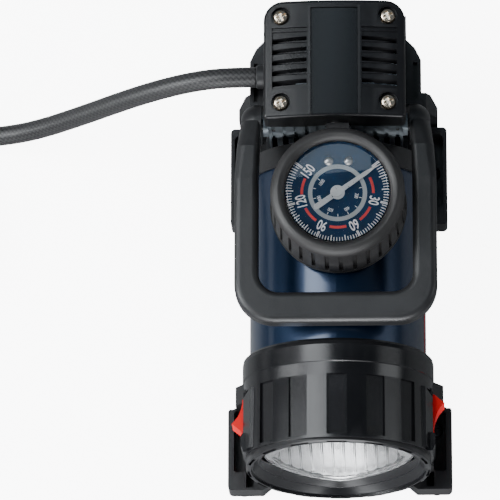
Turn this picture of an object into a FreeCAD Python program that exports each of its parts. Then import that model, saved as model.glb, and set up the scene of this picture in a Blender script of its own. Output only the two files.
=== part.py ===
import FreeCAD, Part
import math
import os

from FreeCAD import Vector

# A portable tyre inflator: a horizontal motor with a lamp at its front end, a single
# cylinder compressor at its rear end, a pressure gauge on top, a bail handle that folds
# down around the gauge, and an air hose with a lever chuck. Millimetres, +Z up, -Y front,
# origin on the floor under the middle of the machine.

# ---------------------------------------------------------------- driving dimensions
AXIS_Z = 50.0            # height of the motor axis
FLOOR_GAP = 0.8          # rubber pads lift the feet by this much
FIT = 0.02               # radial gap between pieces that are fixed together
RUNNING = 0.05           # radial gap of a shaft in its bearing

CAN_R = 41.0
CAN_WALL = 1.6
CAN_FRONT = -58.0
CAN_REAR = 43.5
COLLAR_R = 42.3          # rear housing's collar round the can
COLLAR_Y = (35.5, 45.5)

LAMP_R = 44.4            # lamp housing outside
LAMP_REAR = -49.2
LAMP_FRONT = -95.6
LAMP_PANELS_REAR = -66.0
LAMP_TILT = -5.37        # the lamp looks slightly upwards, degrees about X
LAMP_FACE_Y = -101.35    # middle of the bezel's front plane
BEZEL_R = 42.7
LENS_DEPTH = 6.7         # lens face behind the bezel's front plane
EYE_X = 34.6             # half width and half height of the bezel's opening at the lens
EYE_Z = 35.8
EYE_POWER = 1.5          # 2 is an ellipse, 1 a lozenge

ROCKER_Y = -75.7
ROCKER_PIVOT_X = 44.3
ROCKER_TILT = 23.4
ROCKER_HALF_WIDTH = 6.6

FOOT_X = 52.8
FOOT_TOP = 14.0
FRONT_FOOT_Y = (-102.2, -62.6)
REAR_FOOT_Y = (27.2, 75.7)

GAUGE_X = 1.3
GAUGE_Y = 12.5
GAUGE_BASE = 92.4
GAUGE_TOP = 121.5
GAUGE_R = 30.4
GAUGE_FACE_R = 23.9
GLASS_SEAT = 117.9
GAUGE_STEM_Z = 102.5
DIAL_TOP = 116.3
NEEDLE_REST = 55.0       # degrees clockwise from +Y

HANDLE_PIVOT = (53.3, 90.0)
HANDLE_BOSS_R = 9.4
HANDLE_OUT_X = 46.3
HANDLE_IN_X = 35.2
HANDLE_FRONT = -44.2
HANDLE_BAR_REAR = -29.8
HANDLE_Z = (92.4, 103.4)

BLOCK_X = 32.5
BLOCK_Y = (48.9, 105.35)
COVER_BOTTOM = 95.5
COVER_EDGE_Z = 114.0
COVER_CROWN = 3.0
SCREW_X = 24.55
SCREW_Y = (56.4, 97.8)

CYLINDER_Y = 73.4        # axis of the compressor bore
BORE_R = 12.1
DECK_Z = 90.0            # top of the cylinder block
HEAD_TOP = 105.5

GEAR_MODULE = 1.0
PINION_TEETH = 12
GEAR_TEETH = 30
PRESSURE_ANGLE = math.radians(25.0)
GEAR_Y = (57.0, 63.0)
CRANK_Z = AXIS_Z - GEAR_MODULE * (PINION_TEETH + GEAR_TEETH) / 2.0
CRANK_THROW = 8.0
LIP_Z = 101.5            # bottom of the cover's front wall
PIN_END = 70.1
ROD_Y = (70.4, 76.4)

HOSE_D = 9.5
HOSE_R = HOSE_D / 2.0
HOSE_EXIT = (-36.5, 74.5, 97.0)
COIL_R = 54.0
COIL_CENTRE = (-238.0, 20.6)
COIL_LIFT = 0.6          # the tie's strap runs underneath the turns
CHUCK_Z = 8.2            # the chuck lies on the floor
CHUCK_AT = 62.0          # how far it is from the coil, along the tail
COIL_END = 140.0         # second turn ends here, degrees round from the rearmost point

# Route of the hose from its ferrule to the coil; hand-chosen bends.
HOSE_ROUTE = [
    HOSE_EXIT,
    (-45.0, 74.5, 97.0),
    (-57.0, 74.5, 95.2),
    (-69.0, 74.4, 89.9),
    (-81.0, 74.2, 82.0),
    (-93.0, 74.0, 72.2),
    (-105.0, 73.9, 60.6),
    (-117.0, 73.8, 48.4),
    (-129.0, 73.8, 36.4),
    (-141.0, 73.8, 25.2),
    (-154.0, 74.0, 15.5),
    (-170.0, 74.4, 8.6),
    (-192.0, 74.6, 5.6),
    (-219.0, 74.6, 5.35),
]


# ---------------------------------------------------------------- shape helpers
def box(x0, x1, y0, y1, z0, z1):
    return Part.makeBox(x1 - x0, y1 - y0, z1 - z0, Vector(x0, y0, z0))


def rod(radius, start, end):
    axis = Vector(*end) - Vector(*start)
    return Part.makeCylinder(radius, axis.Length, Vector(*start), axis)


def rod_x(radius, x0, x1, y, z):
    return rod(radius, (x0, y, z), (x1, y, z))


def rod_y(radius, y0, y1, x=0.0, z=AXIS_Z):
    return rod(radius, (x, y0, z), (x, y1, z))


def rod_z(radius, z0, z1, x, y):
    return rod(radius, (x, y, z0), (x, y, z1))


def outline(start, steps):
    """Closed wire: each step is an end point, or a pair (point on the arc, end point)."""
    edges = []
    here = Vector(*start)
    for step in steps + [start]:
        if isinstance(step[0], tuple):
            middle, end = Vector(*step[0]), Vector(*step[1])
            edges.append(Part.Arc(here, middle, end).toShape())
        else:
            end = Vector(*step)
            if (end - here).Length < 1e-7:
                continue
            edges.append(Part.LineSegment(here, end).toShape())
        here = end
    return Part.Wire(edges)


def prism(start, steps, sweep):
    return Part.Face(outline(start, steps)).extrude(Vector(*sweep))


def polygon_prism(points, sweep):
    return prism(points[0], points[1:], sweep)


def turned(profile, centre, axis):
    """Solid of revolution; profile points are (radius, height along the axis)."""
    if axis == "y":
        points = [(centre[0] + radius, centre[1] + along, centre[2]) for radius, along in profile]
        direction = Vector(0, 1, 0)
    else:
        points = [(centre[0] + radius, centre[1], centre[2] + along) for radius, along in profile]
        direction = Vector(0, 0, 1)
    face = Part.Face(outline(points[0], points[1:]))
    return face.revolve(Vector(*centre), direction, 360)


def mirrored(shape):
    return shape.mirror(Vector(0, 0, 0), Vector(1, 0, 0))


def both_sides(shape):
    return Part.makeCompound([shape, mirrored(shape)])


def rotated(shape, centre, axis, degrees):
    turned_shape = shape.copy()
    turned_shape.rotate(Vector(*centre), Vector(*axis), degrees)
    return turned_shape


def rounded(shape, radius, wanted):
    """Round the edges for which wanted(edge) is true."""
    return shape.makeFillet(radius, [edge for edge in shape.Edges if wanted(edge)])


def chamfered(shape, size, wanted):
    return shape.makeChamfer(size, [edge for edge in shape.Edges if wanted(edge)])


def is_vertical(edge):
    first, last = edge.Vertexes[0].Point, edge.Vertexes[-1].Point
    return abs(first.x - last.x) < 1e-6 and abs(first.y - last.y) < 1e-6 and abs(first.z - last.z) > 1e-6


def level(edge, z):
    return all(abs(vertex.Point.z - z) < 1e-6 for vertex in edge.Vertexes)


def export(name, shape):
    shape.exportStep("parts/" + name + ".step")


# ---------------------------------------------------------------- motor
def motor_can():
    tube = rod_y(CAN_R, CAN_FRONT, CAN_REAR).cut(rod_y(CAN_R - CAN_WALL, CAN_FRONT, CAN_REAR))
    export("motor_can", tube)


def motor_bells():
    inner = CAN_R - CAN_WALL - FIT
    front = rod_y(inner, -57.5, -53.0).fuse(rod_y(10.0, -53.0, -49.0))
    front = front.cut(rod_y(7.0, -57.5, -49.0))
    for side in (-1, 1):
        x0, x1 = sorted((side * 15.5, side * 30.0))
        guide = box(x0, x1, -53.5, -38.0, AXIS_Z - 4.5, AXIS_Z + 4.5)
        front = front.fuse(guide.cut(box(x0, x1, -48.0, -40.0, AXIS_Z - 3.0, AXIS_Z + 3.0)))
    export("motor_front_bell", front)
    rear = rod_y(inner, 39.2, 43.2).fuse(rod_y(10.0, 43.2, 48.8))
    rear = rear.cut(rod_y(7.0, 39.2, 48.8))
    for index in range(6):
        angle = math.radians(60.0 * index + 30.0)
        x = 24.0 * math.cos(angle)
        z = AXIS_Z + 24.0 * math.sin(angle)
        rear = rear.cut(rod_y(6.0, 39.2, 43.2, x, z))
    export("motor_rear_bell", rear)
    bushes = []
    for y0, y1 in ((-57.5, -50.0), (40.0, 48.5)):
        bushes.append(rod_y(7.0 - FIT, y0, y1).cut(rod_y(4.0 + RUNNING, y0, y1)))
    crank = rod_y(8.0 - FIT, 49.2, 55.5, 0, CRANK_Z)
    bushes.append(crank.cut(rod_y(4.0 + RUNNING, 49.2, 55.5, 0, CRANK_Z)))
    export("shaft_bushes", Part.makeCompound(bushes))


def motor_magnets():
    ring = rod_y(CAN_R - CAN_WALL - FIT, -36.0, 26.0).cut(rod_y(33.6, -36.0, 26.0))
    wedge = polygon_prism(
        [(0, -36, AXIS_Z), (60, -36, AXIS_Z - 60), (60, -36, AXIS_Z + 60)], (0, 62, 0))
    export("motor_magnets", both_sides(ring.common(wedge)))


def rotor():
    core = rod_y(32.8, -28.0, 18.0)
    for index in range(12):
        slot = box(-2.2, 2.2, -28.0, 18.0, AXIS_Z + 19.0, AXIS_Z + 31.0)
        mouth = box(-1.0, 1.0, -28.0, 18.0, AXIS_Z + 30.0, AXIS_Z + 34.0)
        core = core.cut(rotated(slot.fuse(mouth), (0, 0, AXIS_Z), (0, 1, 0), 30.0 * index))
    core = core.cut(rod_y(4.0 + FIT, -28.0, 18.0))
    export("rotor_core", core)
    ends = []
    for y0, y1 in ((-36.5, -28.0 - FIT), (18.0 + FIT, 26.5)):
        ring = turned([(12.0, y0), (27.0, y0), (30.5, y0 + 3.0), (30.5, y1 - 3.0), (27.0, y1), (12.0, y1)],
                      (0, 0, AXIS_Z), "y")
        ends.append(ring)
    export("rotor_windings", Part.makeCompound(ends))
    bars = rod_y(11.0, -47.0, -37.0).cut(rod_y(4.0 + FIT, -47.0, -37.0))
    for index in range(12):
        gap = box(-0.3, 0.3, -47.0, -37.0, AXIS_Z + 8.0, AXIS_Z + 12.0)
        bars = bars.cut(rotated(gap, (0, 0, AXIS_Z), (0, 1, 0), 30.0 * index))
    export("commutator", bars)
    export("motor_shaft", rod_y(4.0, -58.5, 64.0))


def brushes():
    carbon = []
    for side in (-1, 1):
        x0, x1 = sorted((side * 11.3, side * 27.0))
        carbon.append(box(x0, x1, -47.9, -40.1, AXIS_Z - 2.9, AXIS_Z + 2.9))
    export("motor_brushes", Part.makeCompound(carbon))


def cooling_fan():
    fan = rod_y(9.0, 29.0, 38.5).fuse(rod_y(30.0, 29.0, 30.6))
    for index in range(9):
        blade = box(-0.8, 0.8, 30.0, 38.5, AXIS_Z + 8.0, AXIS_Z + 30.0)
        fan = fan.fuse(rotated(blade, (0, 0, AXIS_Z), (0, 1, 0), 40.0 * index))
    export("cooling_fan", fan.cut(rod_y(4.0 + FIT, 29.0, 38.5)))


# ---------------------------------------------------------------- compressor drive
def gear_blank(teeth, centre_z, tooth_angle):
    """Involute spur gear about a Y axis with a tooth centred at tooth_angle (degrees)."""
    pitch_r = GEAR_MODULE * teeth / 2.0
    base_r = pitch_r * math.cos(PRESSURE_ANGLE)
    tip_r = pitch_r + 0.9 * GEAR_MODULE
    root_r = pitch_r - 1.25 * GEAR_MODULE
    half_tooth = (math.pi * GEAR_MODULE / 2.0 - 0.16) / (2.0 * pitch_r)

    def roll(radius):
        tangent = math.sqrt(max((radius / base_r) ** 2 - 1.0, 0.0))
        return tangent - math.atan(tangent)

    flank = [(root_r, half_tooth + roll(pitch_r))]
    for step in range(5):
        radius = max(base_r, root_r) + (tip_r - max(base_r, root_r)) * step / 4.0
        flank.append((radius, half_tooth + roll(pitch_r) - roll(radius)))
    points = []
    for tooth in range(teeth):
        middle = math.radians(tooth_angle) + 2.0 * math.pi * tooth / teeth
        right = [(radius, middle - half) for radius, half in flank]
        left = [(radius, middle + half) for radius, half in reversed(flank)]
        for radius, angle in right + left:
            points.append((radius * math.cos(angle), GEAR_Y[0], centre_z + radius * math.sin(angle)))
    return polygon_prism(points, (0, GEAR_Y[1] - GEAR_Y[0], 0))


def gears():
    pinion = gear_blank(PINION_TEETH, AXIS_Z, -90.0).cut(rod_y(4.0 + FIT, GEAR_Y[0], GEAR_Y[1]))
    export("drive_pinion", pinion)
    gap_up = 90.0 + 180.0 / GEAR_TEETH
    wheel = gear_blank(GEAR_TEETH, CRANK_Z, gap_up)
    web = rod_y(11.5, GEAR_Y[0], GEAR_Y[0] + 2.0, 0, CRANK_Z).cut(rod_y(6.5, GEAR_Y[0], GEAR_Y[0] + 2.0, 0, CRANK_Z))
    weight = rod_y(13.4, GEAR_Y[1], GEAR_Y[1] + 3.0, 0, CRANK_Z)
    weight = weight.common(box(-14, 14, GEAR_Y[1], GEAR_Y[1] + 3.0, CRANK_Z + 2.0, CRANK_Z + 14.0))
    wheel = wheel.cut(web).fuse(weight)
    wheel = wheel.cut(rod_y(4.0 + FIT, GEAR_Y[0], GEAR_Y[1], 0, CRANK_Z))
    wheel = wheel.cut(rod_y(3.0 + FIT, GEAR_Y[0], GEAR_Y[1], 0, CRANK_Z - CRANK_THROW))
    export("crank_gear", wheel)
    shaft = rod_y(4.0, 46.5, GEAR_Y[1], 0, CRANK_Z)
    pin = rod_y(3.0, GEAR_Y[0], PIN_END, 0, CRANK_Z - CRANK_THROW)
    export("crank_shaft", Part.makeCompound([shaft, pin]))


def crankcase():
    plate = box(-27.0, 27.0, 49.2, 53.2, 14.0, 62.2)
    plate = plate.fuse(rod_y(11.0, 53.2, 55.5, 0, CRANK_Z))
    plate = plate.cut(rod_y(10.5, 49.2, 53.2))
    plate = plate.cut(rod_y(8.0, 49.2, 55.5, 0, CRANK_Z))
    export("crankcase_plate", plate)


def piston():
    big_end_z = CRANK_Z - CRANK_THROW
    crown_z = 66.0
    body = rod_y(7.0, ROD_Y[0], ROD_Y[1], 0, big_end_z)
    body = body.fuse(box(-3.0, 3.0, ROD_Y[0] + 0.5, ROD_Y[1] - 0.5, big_end_z, crown_z))
    body = body.fuse(rod_z(BORE_R - RUNNING, crown_z, crown_z + 5.5, 0, CYLINDER_Y))
    body = body.cut(rod_y(3.1, ROD_Y[0], ROD_Y[1], 0, big_end_z))
    body = body.fuse(rod_z(9.5, crown_z + 6.3, crown_z + 7.4, 0, CYLINDER_Y))
    body = body.fuse(rod_z(3.0, crown_z + 5.5, crown_z + 6.3, 0, CYLINDER_Y))
    export("piston_rod", body)
    cup = rod_z(BORE_R - RUNNING, crown_z + 5.5, crown_z + 6.3, 0, CYLINDER_Y)
    export("piston_cup", cup.cut(rod_z(3.0, crown_z + 5.5, crown_z + 6.3, 0, CYLINDER_Y)))


# ---------------------------------------------------------------- compressor top end
def cylinder_block():
    front = BLOCK_Y[0] + 0.8
    block = box(-31.0, 31.0, 57.0, 100.0, 64.0, DECK_Z)
    block = block.fuse(box(-31.0, 31.0, front, 57.0, 62.5, COVER_BOTTOM))
    block = block.fuse(box(-30.0, 30.0, front, front + 2.6, COVER_BOTTOM, LIP_Z - 0.1))
    tray = box(-31.0, 31.0, 57.0, 100.0, DECK_Z, COVER_BOTTOM)
    block = block.fuse(tray.cut(box(-28.5, 28.5, 57.0, 97.5, DECK_Z, COVER_BOTTOM)))
    for index in range(6):
        x = 3.1 + 5.1 * index
        for side in (-1, 1):
            x0, x1 = side * x - 1.25, side * x + 1.25
            block = block.cut(box(x0, x1, BLOCK_Y[0], 55.5, 62.5, 82.5))
            block = block.cut(box(x0 + 0.5, x1 - 0.5, BLOCK_Y[0], front + 1.0, 82.5, LIP_Z))
    for side in (-1, 1):
        for index in range(5):
            z = 67.0 + 4.5 * index
            x0, x1 = sorted((side * 26.0, side * 31.0))
            block = block.cut(box(x0, x1, 93.0, 100.0, z, z + 2.0))
    block = block.fuse(rod_x(5.3, -33.4, 33.4, *HANDLE_PIVOT).cut(box(-31, 31, 0, 120, 60, 120)))
    block = block.cut(rod_z(BORE_R, 64.0, DECK_Z, 0, CYLINDER_Y))
    for side in (-1, 1):
        x0, x1 = sorted((side * 26.0, side * 33.4))
        block = block.cut(rod_x(3.0 + FIT, x0, x1, *HANDLE_PIVOT))
        for y in SCREW_Y:
            block = block.cut(rod_z(1.7, 80.0, COVER_BOTTOM, side * SCREW_X, y))
        for y in (57.5, 90.5):
            block = block.cut(rod_z(2.0 + FIT, 78.0, COVER_BOTTOM, side * 14.0, y))
    block = block.cut(box(-18.5, 18.5, 52.5, 96.0, DECK_Z, COVER_BOTTOM))
    block = block.cut(box(GAUGE_X - 6.0, GAUGE_X + 6.0, 40.0, 52.5, GAUGE_STEM_Z - 6.0, LIP_Z))
    block = block.cut(rod_x(5.8, -34.0, -20.0, HOSE_EXIT[1], HOSE_EXIT[2]))
    export("cylinder_block", block)


def cylinder_head():
    plate = box(-18.0, 18.0, 53.0, 95.5, DECK_Z, DECK_Z + 1.6)
    head = box(-18.0, 18.0, 53.0, 95.5, DECK_Z + 1.6, HEAD_TOP)
    for index in range(6):
        x = -12.5 + 5.0 * index
        head = head.cut(box(x - 1.0, x + 1.0, 62.0, 86.0, HEAD_TOP - 5.0, HEAD_TOP))
    head = head.cut(rod_z(10.5, DECK_Z + 1.6, DECK_Z + 6.0, 0, CYLINDER_Y))
    bolts = []
    for x in (-14.0, 14.0):
        for y in (57.5, 90.5):
            plate = plate.cut(rod_z(2.0 + FIT, DECK_Z, DECK_Z + 1.6, x, y))
            head = head.cut(rod_z(2.0 + FIT, DECK_Z + 1.6, HEAD_TOP, x, y))
            bolt = rod_z(3.5, HEAD_TOP, HEAD_TOP + 4.0, x, y).cut(rod_z(1.7, HEAD_TOP + 1.8, HEAD_TOP + 4.0, x, y))
            bolts.append(bolt.fuse(rod_z(2.0, 80.0, HEAD_TOP, x, y)))
    for x, y in ((-5.0, 70.0), (5.0, 77.0)):
        plate = plate.cut(rod_z(2.0, DECK_Z, DECK_Z + 1.6, x, y))
    head = head.cut(rod_x(4.0 + FIT, -18.0, -8.0, HOSE_EXIT[1], HOSE_EXIT[2]))
    head = head.cut(rod_y(4.0 + FIT, 53.0, 60.0, GAUGE_X, GAUGE_STEM_Z))
    export("valve_plate", plate)
    export("cylinder_head", head)
    export("head_bolts", Part.makeCompound(bolts))


def outlet_fitting():
    y, z = HOSE_EXIT[1], HOSE_EXIT[2]
    corners = [(-18.0, y + 5.4 * math.cos(math.radians(a)), z + 5.4 * math.sin(math.radians(a)))
               for a in range(0, 360, 60)]
    fitting = polygon_prism(corners, (-6.0, 0, 0))
    fitting = fitting.fuse(rod_x(4.0, -18.0, -9.0, y, z)).fuse(rod_x(3.2, -30.0, -24.0, y, z))
    export("outlet_fitting", fitting.cut(rod_x(1.8, -30.0, -9.0, y, z)))
    ferrule = rod_x(5.5, HOSE_EXIT[0], -24.6, y, z)
    ferrule = ferrule.cut(rod_x(3.2 + FIT, -30.0, -24.6, y, z))
    ferrule = chamfered(ferrule, 0.6, lambda edge: abs(edge.CenterOfMass.x - HOSE_EXIT[0]) < 1e-6)
    export("hose_ferrule", ferrule)


# ---------------------------------------------------------------- compressor covers
def pan_head_screw(length):
    """Pan head screw pointing down, underside of the head at the origin."""
    head = turned([(0, 0), (3.6, 0), (3.6, 0.9), (2.9, 1.9), (1.4, 2.4), (0, 2.5)], (0, 0, 0), "z")
    for angle in (0, 90):
        cross = box(-2.3, 2.3, -0.55, 0.55, 0.8, 2.6)
        head = head.cut(rotated(cross, (0, 0, 0), (0, 0, 1), angle + 20.0))
    return head.fuse(rod_z(1.6, -length, 0.0, 0, 0))


def crowned_top(extra):
    """Everything below the cover's crowned top surface, raised by extra."""
    radius = (BLOCK_X ** 2 + COVER_CROWN ** 2) / (2.0 * COVER_CROWN)
    top = COVER_EDGE_Z + COVER_CROWN + extra
    return rod(radius, (0, BLOCK_Y[0] - 5.0, top - radius), (0, BLOCK_Y[1] + 5.0, top - radius))


def plan_block(inset, z0, z1, front_r, rear_r):
    """Block with rounded plan corners, walls set in from the cover's outline."""
    x = BLOCK_X - inset
    y0, y1 = BLOCK_Y[0] + inset, BLOCK_Y[1] - inset
    body = box(-x, x, y0, y1, z0, z1)
    body = rounded(body, rear_r, lambda edge: is_vertical(edge) and edge.Vertexes[0].Point.y > y1 - 0.1)
    return rounded(body, front_r, lambda edge: is_vertical(edge) and abs(edge.Vertexes[0].Point.y - y0) < 0.01
                   and abs(abs(edge.Vertexes[0].Point.x) - x) < 0.01)


def top_cover():
    cover = plan_block(0.0, COVER_BOTTOM, 125.0, 2.0, 9.0).common(crowned_top(0.0))
    cover = rounded(cover, 1.6, lambda edge: edge.CenterOfMass.z > 113.0 and not is_vertical(edge))
    inner = plan_block(2.4, COVER_BOTTOM, 125.0, 1.0, 7.0).common(crowned_top(-3.4))
    cover = cover.cut(inner)
    y0 = BLOCK_Y[0]
    hollow_front = prism((-30.0, y0 - 2.0, 90.0), [((0, y0 + 0.6, 90.0), (30.0, y0 - 2.0, 90.0))], (0, 0, 40.0))
    cover = cover.cut(hollow_front)
    cover = cover.cut(box(-40.0, 40.0, y0 - 5.0, y0 + 4.6, 90.0, LIP_Z))
    panel = box(-10.8, 10.8, 50.2, 101.6, 100.0, 130.0)
    cover = cover.cut(panel.cut(crowned_top(-1.6)))
    for side in (-1, 1):
        x0, x1 = sorted((side * 10.9, side * 12.0))
        border = box(x0, x1, y0 + 1.6, BLOCK_Y[1] - 3.0, 110.0, 130.0)
        cover = cover.fuse(border.common(crowned_top(0.25)).cut(crowned_top(-0.5)))
        x0, x1 = sorted((side * 12.6, side * 28.6))
        field = box(x0, x1, 62.6, 92.2, 100.0, 130.0)
        cover = cover.cut(field.cut(crowned_top(-0.9)))
        for index in range(5):
            y = 67.4 + 5.1 * index
            slot = polygon_prism([(x0, y - 1.2, 118.0), (x0, y + 1.3, 118.0), (x0, y - 3.7, 108.0),
                                  (x0, y - 6.2, 108.0)], (x1 - x0, 0, 0))
            cover = cover.cut(slot)
            ridge = box(x0, x1, y + 2.3, y + 3.1, 110.0, 130.0)
            cover = cover.fuse(ridge.common(crowned_top(-0.2)).cut(crowned_top(-1.5)))
        for y in SCREW_Y:
            post = rod_z(3.8, DECK_Z + 5.6, 112.0, side * SCREW_X, y)
            cover = cover.fuse(post)
            cover = cover.cut(rod_z(4.4, 113.2, 125.0, side * SCREW_X, y))
            cover = cover.cut(rod_z(1.75, DECK_Z, 125.0, side * SCREW_X, y))
    cover = cover.cut(rod_x(5.8, -34.0, -24.0, HOSE_EXIT[1], HOSE_EXIT[2]))
    cover = cover.cut(rod_y(4.2, 40.0, 60.0, GAUGE_X, GAUGE_STEM_Z))
    export("top_cover", cover)
    badge = box(-10.5, 10.5, 50.5, 101.3, 100.0, 130.0)
    export("badge_plate", badge.common(crowned_top(-0.7)).cut(crowned_top(-1.6 + FIT)))
    screws = []
    for side in (-1, 1):
        for y in SCREW_Y:
            screw = pan_head_screw(28.0)
            screw.translate(Vector(side * SCREW_X, y, 113.2 + FIT))
            screws.append(screw)
    export("cover_screws", Part.makeCompound(screws))


def cheek(side):
    """Side wall of the rear housing, with a slot along its top and chamfered ends."""
    plan = [(side * 31.4, 63.2, 33.5), (side * 39.8, 63.2, 33.5), (side * 39.8, 85.0, 33.5),
            (side * 37.0, 91.0, 33.5), (side * 33.4, 94.8, 33.5), (side * 31.4, 94.8, 33.5)]
    wall = polygon_prism(plan, (0, 0, 54.5))
    x0, x1 = sorted((side * 36.1, side * 37.9))
    return wall.cut(box(x0, x1, 65.5, 84.0, 85.5, 88.0))


def rear_housing():
    body = rod_y(COLLAR_R, *COLLAR_Y)
    trunk = box(-33.0, 33.0, CAN_REAR, 101.0, 8.0, 62.3)
    trunk = rounded(trunk, 8.0, lambda edge: level(edge, 8.0) and abs(abs(edge.CenterOfMass.x) - 33.0) < 1e-6)
    body = body.fuse(trunk).fuse(cheek(-1)).fuse(cheek(1))
    body = body.cut(rod_y(CAN_R + FIT, COLLAR_Y[0], CAN_REAR))
    body = body.cut(box(-30.0, 30.0, COLLAR_Y[1] + 1.0, 98.0, 11.0, 64.0))
    body = body.cut(box(-21.0, 21.0, 97.0, 102.0, 14.0, 64.0))
    body = body.cut(rod_y(10.2, 43.0, 50.0)).cut(rod_y(5.0, 43.0, 50.0, 0, CRANK_Z))
    body = body.cut(box(-31.2, 31.2, COLLAR_Y[1] + 1.0, 101.0, 62.3, 100.0))
    for x in (-26.0, 26.0):
        for z in (16.0, 56.0):
            body = body.cut(rod_y(1.7, 92.0, 101.0, x, z))
    export("rear_housing", body)


def rear_cover():
    plate = box(-33.0, 33.0, 101.0 + FIT, 104.2, 10.0, COVER_BOTTOM - 0.3)
    for index in range(6):
        z = 34.0 + 5.5 * index
        plate = plate.cut(box(-20.0, 20.0, 100.0, 105.0, z, z + 2.4))
    plate = plate.cut(rod_y(5.0 + FIT, 100.0, 105.0, 13.0, 24.0))
    screws = []
    for x in (-26.0, 26.0):
        for z in (16.0, 56.0):
            plate = plate.cut(rod_y(1.75, 100.0, 105.0, x, z)).cut(rod_y(4.2, 102.6, 105.0, x, z))
            screw = rotated(pan_head_screw(10.0), (0, 0, 0), (1, 0, 0), -90.0)
            screw.translate(Vector(x, 102.6 + FIT, z))
            screws.append(screw)
    export("rear_cover", plate)
    gland = rod_y(5.0, 99.0, 104.2, 13.0, 24.0).fuse(rod_y(6.5, 104.2 + FIT, 105.3, 13.0, 24.0))
    export("power_cord_gland", gland.fuse(rod_y(5.0, 104.0, 104.5, 13.0, 24.0)).cut(rod_y(2.6, 99.0, 105.3, 13.0, 24.0)))
    for x in (-45.0, 45.0):
        for y in (-72.0, 55.0):
            screw = pan_head_screw(3.0)
            screw.translate(Vector(x, y, 4.0 + FIT))
            screws.append(screw)
    export("housing_screws", Part.makeCompound(screws))


# ---------------------------------------------------------------- feet
def foot_flange(half_x, y0, y1, inner_x, inner_rear):
    """Base plate, outer rim walls and the lower inner plate of a foot, both sides."""
    base = box(-half_x, half_x, y0, y1, FLOOR_GAP, FOOT_TOP)
    base = rounded(base, 2.2, is_vertical)
    return base.fuse(box(-inner_x, inner_x, y1 - 8.0, inner_rear, FLOOR_GAP, FOOT_TOP - 4.0))


def saddle_web(y0, y1, half_x, shoulder_x):
    """Upright rib that cradles the round body, sloping down on the outside."""
    side = [(0, y0, FLOOR_GAP), (half_x, y0, FLOOR_GAP), (half_x, y0, 23.0), (shoulder_x, y0, 33.0), (0, y0, 33.0)]
    web = polygon_prism(side, (0, y1 - y0, 0))
    return web.fuse(mirrored(web))


def floor_arch(y0, y1, half_width, height):
    points = [(-half_width, y0, 0), (-half_width + 6.0, y0, height), (half_width - 6.0, y0, height),
              (half_width, y0, 0)]
    return polygon_prism(points, (0, y1 - y0, 0))


def front_foot():
    y0, y1 = FRONT_FOOT_Y
    foot = foot_flange(FOOT_X, y0, y1, 48.9, -54.7)
    foot = foot.fuse(saddle_web(-63.6, -54.7, 48.9, 43.0))
    foot = foot.fuse(saddle_web(-93.5, -88.5, 44.0, 40.0))
    for side in (-1, 1):
        x0, x1 = sorted((side * 35.0, side * 50.0))
        pocket = box(x0, x1, -93.5, -63.6, 4.0, 40.0)
        pocket = pocket.cut(box(x0, x1, -93.5, -88.5, 4.0, 40.0).common(box(-44, 44, -94, -88, 0, 40)))
        foot = foot.cut(rounded(pocket, 1.5, is_vertical))
        x0, x1 = sorted((side * 40.6, side * 44.2))
        foot = foot.cut(box(x0, x1, -100.8, -93.5, 3.5, 20.0))
        x0, x1 = sorted((side * 38.0, side * 50.0))
        foot = foot.cut(box(x0, x1, -94.0, -86.0, 29.6, 40.0))
        x0, x1 = sorted((side * 50.0, side * 60.0))
        foot = foot.cut(box(x0, x1, y1 - 0.5, -50.0, 0.0, 40.0))
        foot = foot.cut(rod_z(1.65, 0.0, 5.0, side * 45.0, -72.0))
    foot = foot.cut(rod_y(LAMP_R + 0.4, -110.0, -50.0))
    notch = [(-37.5, -103.0, 0), (-30.0, -97.5, 0), (30.0, -97.5, 0), (37.5, -103.0, 0)]
    foot = foot.cut(polygon_prism(notch, (0, 0, 40.0)))
    foot = foot.cut(floor_arch(-110.0, -50.0, 37.3, 3.2))
    export("front_foot", foot.removeSplitter())


def rear_foot():
    y0, y1 = REAR_FOOT_Y
    foot = foot_flange(FOOT_X - 0.9, y0, y1, 47.6, 87.0)
    foot = foot.fuse(saddle_web(y0 + 2.0, y0 + 7.0, 46.0, 42.5))
    foot = foot.fuse(saddle_web(77.4, 87.0, 47.6, 42.0))
    for side in (-1, 1):
        x0, x1 = sorted((side * 35.5, side * 50.0))
        pocket = box(x0, x1, y0 + 8.0, y1 - 3.0, 4.0, 40.0)
        foot = foot.cut(rounded(pocket, 3.0, is_vertical))
        corner = polygon_prism([(side * 47.7, 82.4, 0), (side * 47.7, 87.1, 0), (side * 44.2, 87.1, 0)], (0, 0, 40))
        foot = foot.cut(corner).cut(rod_z(1.65, 0.0, 5.0, side * 45.0, 55.0))
    foot = foot.cut(rod_y(CAN_R + 0.1, 20.0, 35.4)).cut(rod_y(COLLAR_R + 0.1, 35.3, COLLAR_Y[1] + 0.1))
    trunk = box(-33.1, 33.1, CAN_REAR - 0.1, 101.0, 7.9, 62.0)
    foot = foot.cut(trunk)
    foot = foot.cut(floor_arch(20.0, 90.0, 37.3, 4.0))
    export("rear_foot", foot.removeSplitter())


def foot_pads():
    pads = []
    for side in (-1, 1):
        for y in (-97.8, -66.0, 33.0, 70.0):
            pads.append(rod_z(4.5, 0.0, FLOOR_GAP, side * 45.5, y))
    export("foot_pads", Part.makeCompound(pads))


# ---------------------------------------------------------------- lamp
def tilted(shape):
    return rotated(shape, (0, LAMP_FACE_Y, AXIS_Z), (1, 0, 0), LAMP_TILT)


def lamp_turned(profile):
    """Tilted solid of revolution; heights are measured back from the bezel's front plane."""
    return tilted(turned(profile, (0, LAMP_FACE_Y, AXIS_Z), "y"))


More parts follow.
